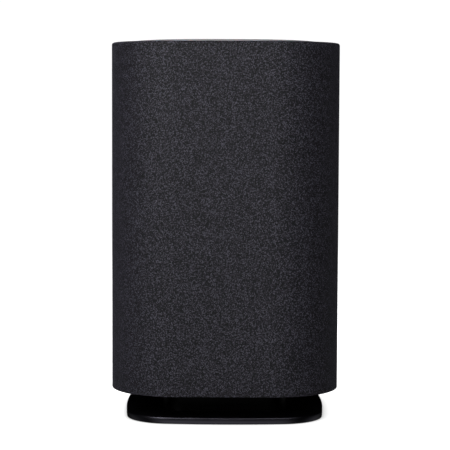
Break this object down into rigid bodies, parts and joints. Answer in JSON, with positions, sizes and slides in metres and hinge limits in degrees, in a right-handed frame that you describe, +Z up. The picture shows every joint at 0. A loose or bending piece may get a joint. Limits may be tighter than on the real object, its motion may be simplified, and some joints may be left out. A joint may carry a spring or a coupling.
{
  "type": "smart home hub",
  "caption": "Voice-controlled smart home hub: a fabric-wrapped rounded-square speaker column on a recessed neck and a thin base plate, with a raised light ring and key panel on top and rear ports.",
  "frame": {"origin": "middle of the underside of the rubber foot pad, on the table surface", "axes": "+Z up along the column, the front faces -Y, the rear ports face +Y, +X is to the right seen from the front"},
  "size_m": [0.1044, 0.1044, 0.1731],
  "materials": {
    "charcoal_fabric": "woven melange, matt",
    "gloss_black": "polished",
    "satin_black": "fine moulded texture",
    "base_metal": "satin anodised look, polished bevel",
    "foot_rubber": "matt",
    "screw_steel": "black zinc",
    "grille_steel": "powder coat",
    "inner_plastic": "moulded",
    "circuit_board": "solder mask",
    "chip_plastic": "moulded epoxy",
    "tinned_steel": "tinned",
    "aluminium": "extruded",
    "antenna_film": "film with copper",
    "light_guide": "frosted translucent",
    "key_plastic": "satin",
    "silicone": "matt",
    "foam_gasket": "closed-cell foam",
    "magnet_ferrite": "sintered ferrite",
    "motor_steel": "zinc plated",
    "copper_coil": "enamelled copper",
    "cone_paper": "coated pulp",
    "surround_rubber": "butyl rubber",
    "spider_cloth": "resin-dipped cotton",
    "dome_silk": "coated silk",
    "button_grey": "satin",
    "led_white": "phosphor",
    "mic_can": "gold plated"
  },
  "bodies": {
    "housing": {"foot_pad": "foot_rubber", "base_plate": "base_metal", "base_screws": "screw_steel", "neck": "satin_black", "neck_screws": "screw_steel", "bottom_cover": "satin_black", "case_screws": "screw_steel", "fabric_sleeve": "charcoal_fabric", "grille_sleeve": "grille_steel", "chassis_frame": "inner_plastic", "main_board": "circuit_board", "board_screws": "screw_steel", "board_chips": "chip_plastic", "radio_shield": "tinned_steel", "heat_spreader": "aluminium", "ethernet_jack": "tinned_steel", "power_jack": "tinned_steel", "port_panel": "satin_black", "pair_switch": "chip_plastic", "wifi_antenna": "antenna_film", "mesh_antenna": "antenna_film", "enclosure_shell": "inner_plastic", "enclosure_screws": "screw_steel", "front_baffle": "inner_plastic", "baffle_gasket": "foam_gasket", "baffle_screws": "screw_steel", "woofer_basket": "inner_plastic", "woofer_top_plate": "motor_steel", "woofer_magnet": "magnet_ferrite", "woofer_yoke": "motor_steel", "woofer_surround": "surround_rubber", "woofer_spider": "spider_cloth", "woofer_screws": "screw_steel", "tweeter_faceplate": "inner_plastic", "tweeter_magnet": "magnet_ferrite", "left_radiator_frame": "inner_plastic", "left_radiator_surround": "surround_rubber", "right_radiator_frame": "inner_plastic", "right_radiator_surround": "surround_rubber", "top_frame": "inner_plastic", "mic_board": "circuit_board", "microphones": "mic_can", "ring_leds": "led_white", "key_switches": "chip_plastic", "key_mat": "silicone", "control_panel": "gloss_black", "light_ring": "light_guide", "top_carrier": "satin_black"},
    "woofer_diaphragm": {"woofer_cone": "cone_paper", "woofer_dust_cap": "cone_paper", "woofer_voice_coil": "copper_coil"},
    "tweeter_diaphragm": {"tweeter_dome": "dome_silk"},
    "left_radiator": {"left_radiator_cone": "cone_paper"},
    "right_radiator": {"right_radiator_cone": "cone_paper"},
    "volume_up": {"volume_up_key": "key_plastic"},
    "volume_down": {"volume_down_key": "key_plastic"},
    "action": {"action_key": "key_plastic"},
    "mute": {"mute_key": "key_plastic"},
    "pairing": {"pair_button": "button_grey"}
  },
  "joints": [
    {"name": "woofer_stroke", "type": "slide", "parent": "housing", "child": "woofer_diaphragm", "axis": [0, -1, 0], "range_m": [-0.0025, 0.0025], "stiffness_N_per_m": 900, "deforming": ["woofer_surround", "woofer_spider"]},
    {"name": "tweeter_stroke", "type": "slide", "parent": "housing", "child": "tweeter_diaphragm", "axis": [0, -1, 0], "range_m": [-0.0003, 0.0003], "stiffness_N_per_m": 600},
    {"name": "left_radiator_stroke", "type": "slide", "parent": "housing", "child": "left_radiator", "axis": [-1, 0, 0], "range_m": [-0.003, 0.003], "stiffness_N_per_m": 500, "deforming": ["left_radiator_surround"]},
    {"name": "right_radiator_stroke", "type": "slide", "parent": "housing", "child": "right_radiator", "axis": [1, 0, 0], "range_m": [-0.003, 0.003], "stiffness_N_per_m": 500, "deforming": ["right_radiator_surround"]},
    {"name": "volume_up_press", "type": "slide", "parent": "housing", "child": "volume_up", "axis": [0, 0, -1], "range_m": [0, 0.0006], "stiffness_N_per_m": 700, "springref_m": -0.0006, "deforming": ["key_mat"]},
    {"name": "volume_down_press", "type": "slide", "parent": "housing", "child": "volume_down", "axis": [0, 0, -1], "range_m": [0, 0.0006], "stiffness_N_per_m": 700, "springref_m": -0.0006, "deforming": ["key_mat"]},
    {"name": "action_press", "type": "slide", "parent": "housing", "child": "action", "axis": [0, 0, -1], "range_m": [0, 0.0006], "stiffness_N_per_m": 700, "springref_m": -0.0006, "deforming": ["key_mat"]},
    {"name": "mute_press", "type": "slide", "parent": "housing", "child": "mute", "axis": [0, 0, -1], "range_m": [0, 0.0006], "stiffness_N_per_m": 700, "springref_m": -0.0006, "deforming": ["key_mat"]},
    {"name": "pairing_press", "type": "slide", "parent": "housing", "child": "pairing", "axis": [0, -1, 0], "range_m": [0, 0.0008], "stiffness_N_per_m": 500, "springref_m": -0.0006}
  ],
  "couplings": [
    {"joint": "left_radiator_stroke", "follows": "woofer_stroke", "ratio": -1},
    {"joint": "right_radiator_stroke", "follows": "woofer_stroke", "ratio": -1}
  ]
}
